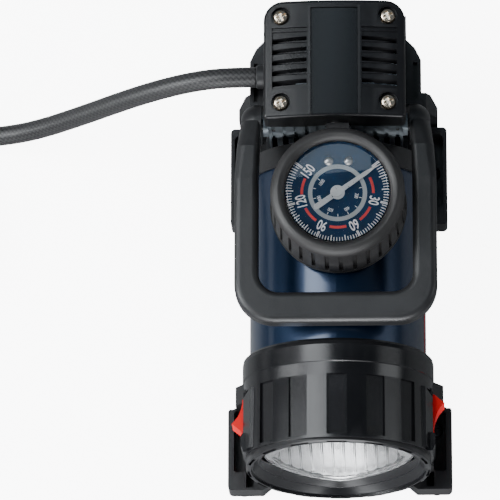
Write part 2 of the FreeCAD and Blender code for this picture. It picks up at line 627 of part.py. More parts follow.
def lamp_housing():
    bore = CAN_R + FIT
    outside = turned([(bore, LAMP_REAR), (LAMP_R - 1.6, LAMP_REAR + 0.0), (LAMP_R - 0.4, LAMP_REAR - 1.2),
                      (LAMP_R, LAMP_REAR - 3.0), (LAMP_R, -60.1), (LAMP_R - 0.5, -60.4),
                      (LAMP_R - 0.8, LAMP_PANELS_REAR), (LAMP_R - 0.5, LAMP_FRONT), (bore, LAMP_FRONT)],
                     (0, 0, AXIS_Z), "y")
    for index in range(15):
        panel = box(-4.55, 4.55, LAMP_FRONT + 1.4, LAMP_PANELS_REAR, AXIS_Z + LAMP_R - 1.9, AXIS_Z + 50.0)
        outside = outside.cut(rotated(panel, (0, 0, AXIS_Z), (0, 1, 0), 24.0 * index))
    bulkhead = rod_y(bore, -64.5, -62.0).cut(rod_y(12.0, -64.5, -62.0))
    body = outside.fuse(bulkhead)
    body = body.fuse(switch_pad(1)).fuse(switch_pad(-1))
    opening = box(-50, 50, ROCKER_Y - 11.3, ROCKER_Y + 11.3, AXIS_Z - 8.3, AXIS_Z + 8.3)
    body = body.cut(opening)
    export("lamp_housing", body)


def switch_pad(side):
    """Six-sided boss on the lamp housing that carries a rocker switch, with a raised front end."""
    rear = LAMP_PANELS_REAR - 0.4
    section = [(38.0, 21.0), (40.4, 20.0), (43.7, 11.5), (43.7, -11.5), (40.4, -20.0), (38.0, -21.0)]
    points = [(side * x, rear, AXIS_Z + z) for x, z in section]
    pad = polygon_prism(points, (0, LAMP_FRONT - LAMP_PANELS_REAR + 1.4, 0))
    corner = [(side * 50.0, rear, 0), (side * 50.0, rear - 9.0, 0), (side * 40.0, rear, 0)]
    for z in (AXIS_Z + 9.5, AXIS_Z - 39.5):
        wedge = polygon_prism(corner, (0, 0, 30.0))
        wedge.translate(Vector(0, 0, z))
        pad = pad.cut(wedge)
    nose = [(side * 40.0, -86.8, 0), (side * 43.7, -86.8, 0), (side * 44.7, -88.2, 0), (side * 44.7, -92.4, 0),
            (side * 43.3, LAMP_FRONT, 0), (side * 40.0, LAMP_FRONT, 0)]
    nose = polygon_prism(nose, (0, 0, 30.0))
    nose.translate(Vector(0, 0, AXIS_Z - 15.0))
    return pad.fuse(nose).cut(rod_y(CAN_R + FIT, -110.0, -40.0))


def eye_wire(depth, half_x, half_z, power):
    """Closed outline between a circle (power 2) and a soft lozenge (power towards 1), at a depth in the lamp."""
    points = []
    for index in range(48):
        turn = math.radians(7.5 * index)
        across = half_x * math.copysign(abs(math.cos(turn)) ** (2.0 / power), math.cos(turn))
        up = half_z * math.copysign(abs(math.sin(turn)) ** (2.0 / power), math.sin(turn))
        points.append(Vector(across, LAMP_FACE_Y + depth, AXIS_Z + up))
    curve = Part.BSplineCurve()
    curve.interpolate(points, True)
    return Part.Wire([curve.toShape()])


def lamp_bezel():
    profile = [(BEZEL_R - 0.7, 0), (BEZEL_R, 0.7), (BEZEL_R, 14.0), (41.0, 14.0), (41.0, 10.0), (37.7, 10.0),
               (37.7, LENS_DEPTH + 1.4), (0, LENS_DEPTH + 1.4), (0, 0)]
    ring = turned(profile, (0, LAMP_FACE_Y, AXIS_Z), "y")
    mouth = eye_wire(-0.5, 40.5, 40.5, 2.0)
    lip = eye_wire(1.3, 40.3, 40.3, 2.0)
    ring = ring.cut(Part.makeLoft([mouth, lip], True, True))
    middle = eye_wire(4.2, 37.4, 38.2, 1.72)
    ring = ring.cut(Part.makeLoft([eye_wire(1.2, 39.6, 39.6, 2.0), middle], True, True))
    throat = eye_wire(LENS_DEPTH, EYE_X, EYE_Z, EYE_POWER)
    ring = ring.cut(Part.makeLoft([eye_wire(4.1, 36.7, 37.5, 1.72), throat], True, True))
    hole = eye_wire(LENS_DEPTH - 0.1, EYE_X, EYE_Z, EYE_POWER)
    ring = ring.cut(Part.makeLoft([hole, eye_wire(LENS_DEPTH + 2.0, EYE_X, EYE_Z, EYE_POWER)], True, True))
    ring = tilted(ring)
    ring = ring.cut(box(-60, 60, LAMP_FRONT - FIT, -60.0, 0, 110))
    for index in range(15):
        slot = rod_y(42.2, LAMP_FACE_Y - 1, LAMP_FACE_Y + 1.4).cut(rod_y(41.1, LAMP_FACE_Y - 1, LAMP_FACE_Y + 1.4))
        slot = slot.common(box(-4.4, 4.4, LAMP_FACE_Y - 1, LAMP_FACE_Y + 2.2, AXIS_Z, AXIS_Z + 50))
        ring = ring.cut(tilted(rotated(slot, (0, 0, AXIS_Z), (0, 1, 0), 24.0 * index)))
    export("lamp_bezel", ring)


def lamp_optics():
    front = LENS_DEPTH
    seat = front + 1.4 + FIT
    face = Part.makeLoft([eye_wire(front - 0.2, EYE_X - 0.1, EYE_Z - 0.1, EYE_POWER),
                          eye_wire(seat + 0.2, EYE_X - 0.1, EYE_Z - 0.1, EYE_POWER)], True, True)
    flange = lamp_turned([(0, seat), (37.5, seat), (37.5, seat + 1.6), (0, seat + 1.6)])
    export("lamp_lens", tilted(face).fuse(flange))
    depth = 22.0
    outer = []
    inner = []
    for step in range(7):
        radius = 9.0 + (33.2 - 9.0) * step / 6.0
        back = front + 3.5 + depth * (1.0 - (radius / 33.2) ** 2)
        inner.append((radius, back))
        outer.append((radius + 0.9, back + 0.8))
    rim = [(38.4, front + 3.5), (38.4, front + 4.3)]
    export("reflector", lamp_turned(inner + rim + list(reversed(outer))))
    socket = rod_y(8.0, -76.0, -65.2).cut(rod_y(3.4, -76.0, -70.0))
    export("lamp_socket", tilted(socket))
    bulb = rod_y(3.2, -85.0, -70.4).fuse(Part.makeSphere(3.9, Vector(0, -85.0, AXIS_Z)))
    export("lamp_bulb", tilted(bulb))


def switch(side, name):
    pivot = side * ROCKER_PIVOT_X
    frame_x = sorted((side * 42.3, side * 43.6))
    body = box(*frame_x, ROCKER_Y - 11.2, ROCKER_Y + 11.2, AXIS_Z - 8.2, AXIS_Z + 8.2)
    shell_x = sorted((side * 34.8, side * 42.3))
    body = body.fuse(box(*shell_x, ROCKER_Y - 10.6, ROCKER_Y + 10.6, AXIS_Z - 7.8, AXIS_Z + 7.8))
    hollow_x = sorted((side * 36.8, side * 45.0))
    body = body.cut(box(*hollow_x, ROCKER_Y - 9.9, ROCKER_Y + 9.9, AXIS_Z - 7.0, AXIS_Z + 7.0))
    body = body.cut(rod_y(34.0, -95.0, -60.0))
    export(name + "_switch_body", body)

    bottom = AXIS_Z - ROCKER_HALF_WIDTH
    side_profile = [(2.64, 6.16), (-3.3, 7.85), (-4.2, 7.4)]
    far = [(pivot + side * v, ROCKER_Y + u, bottom) for v, u in side_profile]
    near = [(pivot + side * v, ROCKER_Y - u, bottom) for v, u in reversed(side_profile)]
    steps = [((pivot + side * 1.3, ROCKER_Y, bottom), far[0]), far[1], far[2], near[0], near[1]]
    rocker = prism(near[2], steps, (0, 0, 2.0 * ROCKER_HALF_WIDTH))
    export(name + "_rocker", rotated(rocker, (pivot, ROCKER_Y, AXIS_Z), (0, 0, 1), -ROCKER_TILT))


# ---------------------------------------------------------------- handle
def carry_handle():
    low, high = HANDLE_Z
    pivot_y, pivot_z = HANDLE_PIVOT
    join_y = 24.0
    corner, inner = 18.5, 9.5
    out_x, in_x = HANDLE_OUT_X, HANDLE_IN_X
    slack = 1.0 - math.sqrt(0.5)
    plan_steps = [
        (-out_x, HANDLE_FRONT + corner, low),
        ((-out_x + corner * slack, HANDLE_FRONT + corner * slack, low), (-out_x + corner, HANDLE_FRONT, low)),
        (out_x - corner, HANDLE_FRONT, low),
        ((out_x - corner * slack, HANDLE_FRONT + corner * slack, low), (out_x, HANDLE_FRONT + corner, low)),
        (out_x, join_y, low),
        (in_x, join_y, low),
        (in_x, HANDLE_BAR_REAR + inner, low),
        ((in_x - inner * slack, HANDLE_BAR_REAR + inner * slack, low), (in_x - inner, HANDLE_BAR_REAR, low)),
        (-in_x + inner, HANDLE_BAR_REAR, low),
        ((-in_x + inner * slack, HANDLE_BAR_REAR + inner * slack, low), (-in_x, HANDLE_BAR_REAR + inner, low)),
        (-in_x, join_y, low),
    ]
    bail = prism((-out_x, join_y, low), plan_steps, (0, 0, high - low))
    bail = rounded(bail, 3.0, lambda edge: (level(edge, high) or level(edge, low))
                   and edge.CenterOfMass.y < join_y - 0.01)
    leg = Part.makeLoft([
        leg_section(join_y, in_x, out_x, low, high, 3.0, 3.0),
        leg_section(40.0, 34.9, 45.3, 90.0, 102.6, 4.2, 2.6),
        leg_section(pivot_y, 34.3, 43.7, pivot_z - 7.6, pivot_z + HANDLE_BOSS_R - 0.1, 7.2, 1.6),
    ], True, True)
    boss = rod_x(HANDLE_BOSS_R, 34.2, 43.8, pivot_y, pivot_z)
    boss = rounded(boss, 7.4, lambda edge: abs(edge.CenterOfMass.x - 43.8) < 1e-6)
    leg = leg.fuse(boss).cut(rod_x(3.0 + RUNNING, 34.0, 41.3, pivot_y, pivot_z))
    handle = bail.fuse(leg).fuse(mirrored(leg))
    export("carry_handle", handle)
    export("handle_pivot_pins", both_sides(rod_x(3.0, 27.0, 41.0, pivot_y, pivot_z)))


def leg_section(y, x0, x1, z0, z1, outer, inner):
    """Rounded rectangle across the handle's leg, with its own radius on the outer and the inner side."""
    cut_o, cut_i = outer * (1.0 - math.sqrt(0.5)), inner * (1.0 - math.sqrt(0.5))
    steps = [
        (x1 - outer, y, z0),
        ((x1 - cut_o, y, z0 + cut_o), (x1, y, z0 + outer)),
        (x1, y, z1 - outer),
        ((x1 - cut_o, y, z1 - cut_o), (x1 - outer, y, z1)),
        (x0 + inner, y, z1),
        ((x0 + cut_i, y, z1 - cut_i), (x0, y, z1 - inner)),
        (x0, y, z0 + inner),
        ((x0 + cut_i, y, z0 + cut_i), (x0 + inner, y, z0)),
    ]
    return outline((x0 + inner, y, z0), steps)


# ---------------------------------------------------------------- gauge
def gauge_boot():
    start = (GAUGE_X, GAUGE_Y, GAUGE_BASE)

    def at(radius, z):
        return (GAUGE_X + radius, GAUGE_Y, z)

    steps = [
        at(31.2, GAUGE_BASE),
        at(31.4, GAUGE_BASE + 1.6),
        at(31.0, GAUGE_BASE + 2.4),
        at(GAUGE_R, GLASS_SEAT - 2.0),
        (at(29.5, GLASS_SEAT + 2.2), at(27.2, GAUGE_TOP)),
        (at(25.2, GLASS_SEAT + 2.9), at(GAUGE_FACE_R + 0.2, GLASS_SEAT + 1.0)),
        at(GAUGE_FACE_R + 0.2, GLASS_SEAT),
        at(27.0, GLASS_SEAT),
        at(27.0, GAUGE_BASE + 2.0),
        at(0.0, GAUGE_BASE + 2.0),
    ]
    boot = Part.Face(outline(start, steps)).revolve(Vector(*start), Vector(0, 0, 1), 360)
    for index in range(30):
        groove = box(-0.95, 0.95, 29.2, 33.0, GAUGE_BASE + 3.6, GLASS_SEAT - 2.2)
        groove = rotated(groove, (0, 0, 0), (0, 0, 1), 12.0 * index + 2.3)
        groove.translate(Vector(GAUGE_X, GAUGE_Y, 0))
        boot = boot.cut(groove)
    boot = boot.cut(rod_y(4.2, GAUGE_Y + 20.0, GAUGE_Y + 34.0, GAUGE_X, GAUGE_STEM_Z))
    export("gauge_boot", boot)


def gauge_works():
    centre = (GAUGE_X, GAUGE_Y)
    low = GAUGE_BASE + 2.0 + FIT
    case = rod_z(27.0 - FIT, low, GLASS_SEAT - FIT, *centre).cut(rod_z(25.6, low + 1.2, 121.0, *centre))
    case = case.cut(rod_y(4.0 + FIT, GAUGE_Y + 20.0, GAUGE_Y + 34.0, GAUGE_X, GAUGE_STEM_Z))
    export("gauge_case", case)
    dial = rod_z(GAUGE_FACE_R + 1.0, DIAL_TOP - 0.8, DIAL_TOP, *centre).cut(rod_z(1.2, DIAL_TOP - 2.0, DIAL_TOP + 1.0, *centre))
    rivets = []
    for side in (-1, 1):
        x, y = GAUGE_X + 0.5 + side * 4.5, GAUGE_Y + 15.0
        dial = dial.cut(rod_z(0.9, DIAL_TOP - 2.0, DIAL_TOP + 1.0, x, y))
        dome = Part.makeSphere(2.4, Vector(x, y, DIAL_TOP - 1.2)).common(box(-30, 30, 0, 40, DIAL_TOP, 121.0))
        rivets.append(dome.fuse(rod_z(0.9 - FIT, DIAL_TOP - 2.0, DIAL_TOP, x, y)))
    export("gauge_dial", dial)
    export("dial_rivets", Part.makeCompound(rivets))
    export("gauge_glass", rod_z(GAUGE_FACE_R + 0.1, GLASS_SEAT + 0.3, GLASS_SEAT + 1.3, *centre))
    tube = Part.makeTorus(15.5, 2.3, Vector(0, 0, 0), Vector(0, 0, 1), -180, 180, 270)
    tube.translate(Vector(GAUGE_X, GAUGE_Y, GAUGE_STEM_Z))
    export("bourdon_tube", rotated(tube, (GAUGE_X, GAUGE_Y, 0), (0, 0, 1), 135.0))
    stem = rod_y(4.0, GAUGE_Y + 19.0, 59.5, GAUGE_X, GAUGE_STEM_Z)
    flats = box(GAUGE_X - 5.2, GAUGE_X + 5.2, GAUGE_Y + 32.2, 48.6, GAUGE_STEM_Z - 5.2, GAUGE_STEM_Z + 5.2)
    export("gauge_stem", stem.fuse(flats).cut(rod_y(1.6, 0.0, 70.0, GAUGE_X, GAUGE_STEM_Z)))


def gauge_needle():
    z0, z1 = DIAL_TOP + 0.5, DIAL_TOP + 1.0
    steps = [((0.0, -12.9, z0), (1.35, -11.6, z0)), (1.15, 0.0, z0), (0.95, 15.5, z0), (0.2, 21.8, z0),
             (-0.2, 21.8, z0), (-0.95, 15.5, z0), (-1.15, 0.0, z0)]
    blade = prism((-1.35, -11.6, z0), steps, (0, 0, z1 - z0))
    needle = blade.fuse(rod_z(3.3, z0, z1, 0, 0)).fuse(rod_z(2.2, z0, z1 + 0.5, 0, 0))
    needle = needle.fuse(rod_z(1.14, DIAL_TOP - 3.0, z0, 0, 0))
    needle = rotated(needle, (0, 0, 0), (0, 0, 1), -NEEDLE_REST)
    needle.translate(Vector(GAUGE_X, GAUGE_Y, 0))
    export("gauge_needle", needle)


# ---------------------------------------------------------------- hose
def rounded_path(points):
    """Straight runs joined by tangent arcs, each as large as its two runs allow."""
    corners = [Vector(*point) for point in points]
    edges = []
    here = corners[0]
    length = 0.0
    for before, corner, after in zip(corners, corners[1:], corners[2:]):
        back = (before - corner).normalize()
        ahead = (after - corner).normalize()
        shorter = min((before - corner).Length, (after - corner).Length)
        half_turn = (math.pi - back.getAngle(ahead)) / 2.0
        radius = 0.45 * shorter / math.tan(half_turn)
        print("arc radius %.1f" % radius)
        start = corner + back * 0.45 * shorter
        end = corner + ahead * 0.45 * shorter
        bisector = (back + ahead).normalize()
        middle = corner + bisector * (radius / math.cos(half_turn) - radius)
        edges.append(Part.LineSegment(here, start).toShape())
        edges.append(Part.Arc(start, middle, end).toShape())
        length += (start - here).Length + 2.0 * radius * half_turn
        here = end
    edges.append(Part.LineSegment(here, corners[-1]).toShape())
    length += (corners[-1] - here).Length
    return Part.Wire(edges), length


def tube_along(points, name):
    path, length = rounded_path(points)
    direction = Vector(*points[1]) - Vector(*points[0])
    ring = Part.Wire(Part.makeCircle(HOSE_R, Vector(*points[0]), direction))
    tube = path.makePipeShell([ring], True, False)
    ratio = tube.Volume / (math.pi * HOSE_R ** 2 * length)
    print("%s: length %.1f, volume over section times length %.4f" % (name, length, ratio))
    return tube


def coil_point(angle, z, radius=COIL_R):
    turn = math.radians(angle)
    return (COIL_CENTRE[0] - radius * math.sin(turn), COIL_CENTRE[1] + radius * math.cos(turn), z)


def tail_point(distance, z):
    """Point on the straight line that leaves the coil at the end of its last turn."""
    x, y, _ = coil_point(COIL_END, z)
    turn = math.radians(COIL_END)
    return (x - distance * math.cos(turn), y - distance * math.sin(turn), z)


def air_hose():
    half = HOSE_R
    low = COIL_LIFT
    high = COIL_LIFT + 2.0 * HOSE_D
    start = (COIL_CENTRE[0] + COIL_R - half, COIL_CENTRE[1], low + half)
    steps = [
        ((COIL_CENTRE[0] + COIL_R, COIL_CENTRE[1], low), (COIL_CENTRE[0] + COIL_R + half, COIL_CENTRE[1], low + half)),
        (COIL_CENTRE[0] + COIL_R + half, COIL_CENTRE[1], high - half),
        ((COIL_CENTRE[0] + COIL_R, COIL_CENTRE[1], high), (COIL_CENTRE[0] + COIL_R - half, COIL_CENTRE[1], high - half)),
    ]
    centre = Vector(COIL_CENTRE[0], COIL_CENTRE[1], 0)
    coil = Part.Face(outline(start, steps)).revolve(centre, Vector(0, 0, 1), 360)
    export("hose_coil", coil)
    export("air_hose", tube_along(HOSE_ROUTE, "air_hose").cut(coil))
    top = COIL_LIFT + 1.5 * HOSE_D
    tail_route = [tail_point(8.0, top), tail_point(24.0, top - 1.6), tail_point(40.0, top - 5.6),
                  tail_point(50.0, CHUCK_Z), tail_point(CHUCK_AT, CHUCK_Z)]
    export("hose_tail", tube_along(tail_route, "hose_tail").cut(coil))
    tie_at = math.radians(75.0)
    strap = box(COIL_R - half - 0.8, COIL_R + half + 0.8, -6.0, 6.0, 0.0, high + 0.6)
    strap = strap.cut(box(COIL_R - half - 0.05, COIL_R + half + 0.9 - 0.85, -6.0, 6.0, COIL_LIFT - FIT, high + 0.05))
    strap.rotate(Vector(0, 0, 0), Vector(0, 0, 1), 90.0 + math.degrees(tie_at))
    strap.translate(Vector(COIL_CENTRE[0], COIL_CENTRE[1], 0))
    export("hose_tie", strap.cut(coil))


def chuck():
    """Lever chuck, built along +X from the hose's end, then laid beside the coil."""
    body = rod_x(6.2, 0.0, 10.0, 0, 0).fuse(rod_x(8.0, 10.0, 38.0, 0, 0)).fuse(rod_x(6.6, 38.0, 50.0, 0, 0))
    body = body.fuse(box(28.0, 36.0, -6.5, 6.5, 0.0, 12.5))
    body = body.cut(box(26.0, 38.0, -4.0, 4.0, 8.2, 13.0))
    body = body.cut(rod_x(3.95, 38.0, 50.0, 0, 0))
    pin_hole = rod(1.2 + FIT, (32.0, -7.0, 10.4), (32.0, 7.0, 10.4))
    body = body.cut(pin_hole)
    pin = rod(1.2, (32.0, -6.5, 10.4), (32.0, 6.5, 10.4))
    lever = box(0.5, 29.5, -3.7, 3.7, 9.0, 11.6).fuse(rod(1.9, (32.0, -3.7, 10.4), (32.0, 3.7, 10.4)))
    lever = lever.fuse(box(29.0, 32.0, -3.7, 3.7, 9.0, 11.6))
    lever = lever.cut(rod(1.2 + RUNNING, (32.0, -4.0, 10.4), (32.0, 4.0, 10.4)))
    place = tail_point(CHUCK_AT, CHUCK_Z)
    heading = COIL_END + 180.0
    for name, shape in (("chuck_body", body), ("chuck_pin", pin), ("chuck_lever", lever)):
        shape.rotate(Vector(0, 0, 0), Vector(0, 0, 1), heading)
        shape.translate(Vector(*place))
        export(name, shape)


# ---------------------------------------------------------------- build everything
os.makedirs("parts", exist_ok=True)

motor_can()
motor_bells()
motor_magnets()
rotor()
brushes()
cooling_fan()
gears()
crankcase()
piston()
cylinder_block()
cylinder_head()
outlet_fitting()
top_cover()
rear_housing()
rear_cover()
front_foot()
rear_foot()
foot_pads()
lamp_housing()
lamp_bezel()
lamp_optics()
switch(-1, "left")
switch(1, "right")
carry_handle()
gauge_boot()
gauge_works()
gauge_needle()
air_hose()
chuck()
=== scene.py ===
import math

import bmesh
import bpy
from mathutils import Matrix, Vector


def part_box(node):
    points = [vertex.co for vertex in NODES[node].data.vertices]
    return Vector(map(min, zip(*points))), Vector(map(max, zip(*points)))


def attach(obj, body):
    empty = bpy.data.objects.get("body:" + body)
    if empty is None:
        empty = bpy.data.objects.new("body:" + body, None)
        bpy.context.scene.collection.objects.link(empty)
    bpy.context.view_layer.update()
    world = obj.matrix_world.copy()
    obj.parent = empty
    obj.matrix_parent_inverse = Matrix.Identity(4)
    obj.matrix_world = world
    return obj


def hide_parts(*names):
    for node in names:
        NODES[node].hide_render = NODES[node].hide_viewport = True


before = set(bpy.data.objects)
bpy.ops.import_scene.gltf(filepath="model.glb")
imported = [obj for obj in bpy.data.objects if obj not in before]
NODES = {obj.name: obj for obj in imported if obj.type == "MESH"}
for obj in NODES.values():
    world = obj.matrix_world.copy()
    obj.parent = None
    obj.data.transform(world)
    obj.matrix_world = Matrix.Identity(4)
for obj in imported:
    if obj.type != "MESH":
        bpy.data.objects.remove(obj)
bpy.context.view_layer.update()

# Lengths are in metres and angles in degrees, except where a name says otherwise.
AXIS_Z = 0.050              # height of the axis that the motor and the lamp share


# ------------------------------------------------------------------ camera and stage
SENSOR_WIDTH_MM = 36.0
FOCAL_LENGTH_MM = 307.33
CLIP_END = 20.0
CAMERA_PLACE = (0.0367, -0.5443, 1.9716)
CAMERA_RIGHT = (0.9992, 0.0018, -0.0400)
CAMERA_BACK = (0.0389, -0.2746, 0.9608)     # points from the object to the camera

FLOOR_HALF = 4.0
FLOOR_SEEN_Z, FLOOR_BOUNCE_Z = -0.0002, -0.0004
FLOOR_GLOW = 8.0
WORLD_COLOUR = (0.72, 0.86, 1.0, 1.0)
WORLD_LIGHT = 0.12

WIDE = 180.0
NARROW = 10.0
# name, place, looks at, width, height, watts, colour, spread
LIGHTS = [
    ("key_left", (-1.6, -0.2, 1.0), (0, 0, 0.05), 0.7, 1.0, 44.0, (0.95, 0.98, 1.0), WIDE),
    ("soft_upper_left", (-0.85, 0.35, 1.75), (0, 0.0, 0.06), 0.55, 1.1, 16.0,
     (0.93, 0.97, 1.0), WIDE),
    ("front_fill", (-0.1, -1.5, 0.55), (0, -0.05, 0.05), 1.7, 0.9, 34.0, (0.96, 0.98, 1.0), WIDE),
    ("fill_right", (1.6, 0.1, 0.8), (0, 0, 0.05), 0.5, 0.9, 4.0, (0.95, 0.98, 1.0), WIDE),
    ("glass_window", (-0.07, 0.72, 1.66), (0, 0.0125, 0.118), 0.36, 0.30, 0.9,
     (0.72, 0.87, 1.0), WIDE),
    ("lens_beam", (0.0, -0.7, 0.09), (0.0, -0.1, 0.05), 0.06, 0.06, 0.06,
     (0.96, 0.98, 1.0), NARROW),
]


def make_camera():
    data = bpy.data.cameras.new("camera")
    data.sensor_width = SENSOR_WIDTH_MM
    data.lens = FOCAL_LENGTH_MM
    data.clip_end = CLIP_END
    camera = bpy.data.objects.new("camera", data)
    bpy.context.scene.collection.objects.link(camera)
    right = Vector(CAMERA_RIGHT).normalized()
    back = Vector(CAMERA_BACK).normalized()
    up = back.cross(right).normalized()
    right = up.cross(back)
    turn = Matrix((right, up, back)).transposed().to_4x4()
    camera.matrix_world = Matrix.Translation(CAMERA_PLACE) @ turn
    bpy.context.scene.camera = camera


def area_light(name, place, target, width, height, power, colour, spread):
    data = bpy.data.lights.new(name, "AREA")
    data.energy = power
    data.color = colour
    data.shape = "RECTANGLE"
    data.size = width
    data.size_y = height
    data.spread = math.radians(spread)
    light = bpy.data.objects.new(name, data)
    light.location = place
    aim = Vector(target) - Vector(place)
    light.rotation_euler = aim.to_track_quat("-Z", "Y").to_euler()
    bpy.context.scene.collection.objects.link(light)


def floor_sheet(name, height, albedo, glow):
    half = FLOOR_HALF
    corners = [(-half, -half, 0), (half, -half, 0), (half, half, 0), (-half, half, 0)]
    mesh = bpy.data.meshes.new(name)
    mesh.from_pydata(corners, [], [(0, 1, 2, 3)])
    sheet = bpy.data.objects.new(name, mesh)
    sheet.location.z = height
    bpy.context.scene.collection.objects.link(sheet)
    paper = plain(name, (albedo, albedo, albedo), 0.9)
    shader = paper.node_tree.nodes["Principled BSDF"]
    shader.inputs["Emission Color"].default_value = (1.0, 1.0, 1.0, 1.0)
    shader.inputs["Emission Strength"].default_value = glow
    mesh.materials.append(paper)
    return sheet


def make_stage():
    """A glowing floor that only the camera sees, a grey one that only bounces light, and lamps."""
    seen = floor_sheet("floor_seen", FLOOR_SEEN_Z, 0.92, FLOOR_GLOW)
    seen.visible_glossy = False
    seen.visible_diffuse = False
    seen.visible_transmission = False
    seen.visible_shadow = False
    under = floor_sheet("floor_bounce", FLOOR_BOUNCE_Z, 0.30, 0.0)
    under.visible_camera = False
    world = bpy.data.worlds.new("studio")
    world.use_nodes = True
    background = world.node_tree.nodes["Background"]
    background.inputs["Color"].default_value = WORLD_COLOUR
    background.inputs["Strength"].default_value = WORLD_LIGHT
    bpy.context.scene.world = world
    for light in LIGHTS:
        area_light(*light)


# ------------------------------------------------------------------ materials
NOISE_LOW, NOISE_HIGH = 0.3, 0.7        # the part of 0 to 1 that a noise mostly fills
WEAR_FROM, WEAR_FULL = 0.53, 0.60       # pointiness of an edge where the rubbing starts and is full
WEAR_AMOUNT = 0.6
COAT_ROUGHNESS = 0.16
GLASS_IOR = 1.45


class Graph:
    """Small helper around one material's nodes."""

    def __init__(self, name):
        self.material = bpy.data.materials.new(name)
        self.material.use_nodes = True
        self.tree = self.material.node_tree
        self.shader = self.tree.nodes["Principled BSDF"]

    def node(self, kind, **values):
        made = self.tree.nodes.new(kind)
        for key, value in values.items():
            setattr(made, key, value)
        return made

    def link(self, out, into):
        self.tree.links.new(out, into)

    def place(self, scale=(1, 1, 1)):
        """Object coordinates in metres, stretched by scale."""
        where = self.node("ShaderNodeTexCoord")
        mapping = self.node("ShaderNodeMapping")
        mapping.inputs["Scale"].default_value = scale
        self.link(where.outputs["Object"], mapping.inputs["Vector"])
        return mapping.outputs["Vector"]

    def noise(self, vector, scale, detail, rough=0.6):
        made = self.node("ShaderNodeTexNoise")
        made.inputs["Scale"].default_value = scale
        made.inputs["Detail"].default_value = detail
        made.inputs["Roughness"].default_value = rough
        self.link(vector, made.inputs["Vector"])
        return made.outputs["Fac"]

    def ramp(self, factor, low, high, first, last):
        made = self.node("ShaderNodeValToRGB")
        made.color_ramp.elements[0].position = low
        made.color_ramp.elements[1].position = high
        made.color_ramp.elements[0].color = (*first, 1.0)
        made.color_ramp.elements[1].color = (*last, 1.0)
        self.link(factor, made.inputs["Fac"])
        return made.outputs["Color"]

    def mix(self, factor, first, second, kind="MIX"):
        made = self.node("ShaderNodeMix", data_type="RGBA", blend_type=kind)
        for key, value in (("Factor", factor), ("A", first), ("B", second)):
            socket = made.inputs[key]
            if isinstance(value, (int, float)):
                socket.default_value = value
            elif isinstance(value, tuple):
                socket.default_value = (*value, 1.0)
            else:
                self.link(value, socket)
        return made.outputs["Result"]

    def span(self, factor, low, high):
        """A noise stretched to run from low to high."""
        made = self.node("ShaderNodeMapRange")
        made.inputs["From Min"].default_value = NOISE_LOW
        made.inputs["From Max"].default_value = NOISE_HIGH
        made.inputs["To Min"].default_value = low
        made.inputs["To Max"].default_value = high
        self.link(factor, made.inputs["Value"])
        return made.outputs["Result"]

    def bump(self, height, distance):
        made = self.node("ShaderNodeBump")
        made.inputs["Distance"].default_value = distance
        made.inputs["Strength"].default_value = 1.0
        self.link(height, made.inputs["Height"])
        self.link(made.outputs["Normal"], self.shader.inputs["Normal"])

    def edge_wear(self, colour, worn, amount):
        """Rubbed edges: a lighter colour where the surface is sharply convex."""
        geometry = self.node("ShaderNodeNewGeometry")
        factor = self.ramp(geometry.outputs["Pointiness"], WEAR_FROM, WEAR_FULL, (0, 0, 0),
                           (amount, amount, amount))
        return self.mix(factor, colour, worn)


def plain(name, colour, roughness, metallic=0.0):
    graph = Graph(name)
    graph.shader.inputs["Base Color"].default_value = (*colour, 1.0)
    graph.shader.inputs["Roughness"].default_value = roughness
    graph.shader.inputs["Metallic"].default_value = metallic
    return graph.material


def moulded(name, colour, roughness, grain, depth, spread, worn, metallic=0.0, specular=0.5):
    """Moulded or cast surface: fine grain, faint cloudiness, rubbed edges."""
    graph = Graph(name)
    where = graph.place()
    cloud = graph.noise(where, 38.0, 5.0)
    fine = graph.noise(where, grain, 3.0, 0.7)
    low = tuple(channel * (1.0 - spread) for channel in colour)
    high = tuple(min(channel * (1.0 + spread), 1.0) for channel in colour)
    tone = graph.ramp(cloud, 0.35, 0.65, low, high)
    pale = tuple(min(channel + worn, 1.0) for channel in colour)
    graph.link(graph.edge_wear(tone, pale, WEAR_AMOUNT), graph.shader.inputs["Base Color"])
    graph.link(graph.span(cloud, roughness * 0.88, roughness * 1.12), graph.shader.inputs["Roughness"])
    graph.shader.inputs["Metallic"].default_value = metallic
    graph.shader.inputs["Specular IOR Level"].default_value = specular
    graph.bump(fine, depth)
    return graph.material


def enamel(name, colour, roughness, metallic=0.0, coat=0.0, specular=0.5):
    """Smooth sprayed paint, under a clear coat where coat is above 0."""
    material = plain(name, colour, roughness, metallic)
    shader = material.node_tree.nodes["Principled BSDF"]
    shader.inputs["Specular IOR Level"].default_value = specular
    shader.inputs["Coat Weight"].default_value = coat
    shader.inputs["Coat Roughness"].default_value = COAT_ROUGHNESS
    return material


def metal(name, colour, roughness, stretch, scale=400.0, depth=0.00002, stain=0.3):
    """Bare metal: fine scratches along one axis where stretch says so, and faint stains."""
    graph = Graph(name)
    lines = graph.noise(graph.place(stretch), scale, 3.0, 0.6)
    cloud = graph.noise(graph.place(), 60.0, 4.0)
    low = tuple(channel * (1.0 - stain) for channel in colour)
    graph.link(graph.ramp(cloud, 0.3, 0.6, low, colour), graph.shader.inputs["Base Color"])
    graph.link(graph.span(lines, roughness * 0.75, roughness * 1.3), graph.shader.inputs["Roughness"])
    graph.shader.inputs["Metallic"].default_value = 1.0
    graph.bump(lines, depth)
    return graph.material


def glass(name, roughness):
    """Clear glass or plastic with a faint smear."""
    graph = Graph(name)
    smear = graph.noise(graph.place(), 30.0, 3.0)
    graph.shader.inputs["Base Color"].default_value = (1.0, 1.0, 1.0, 1.0)
    graph.link(graph.span(smear, roughness, roughness * 2.0), graph.shader.inputs["Roughness"])
    graph.shader.inputs["Transmission Weight"].default_value = 1.0
    graph.shader.inputs["IOR"].default_value = GLASS_IOR
    return graph.material


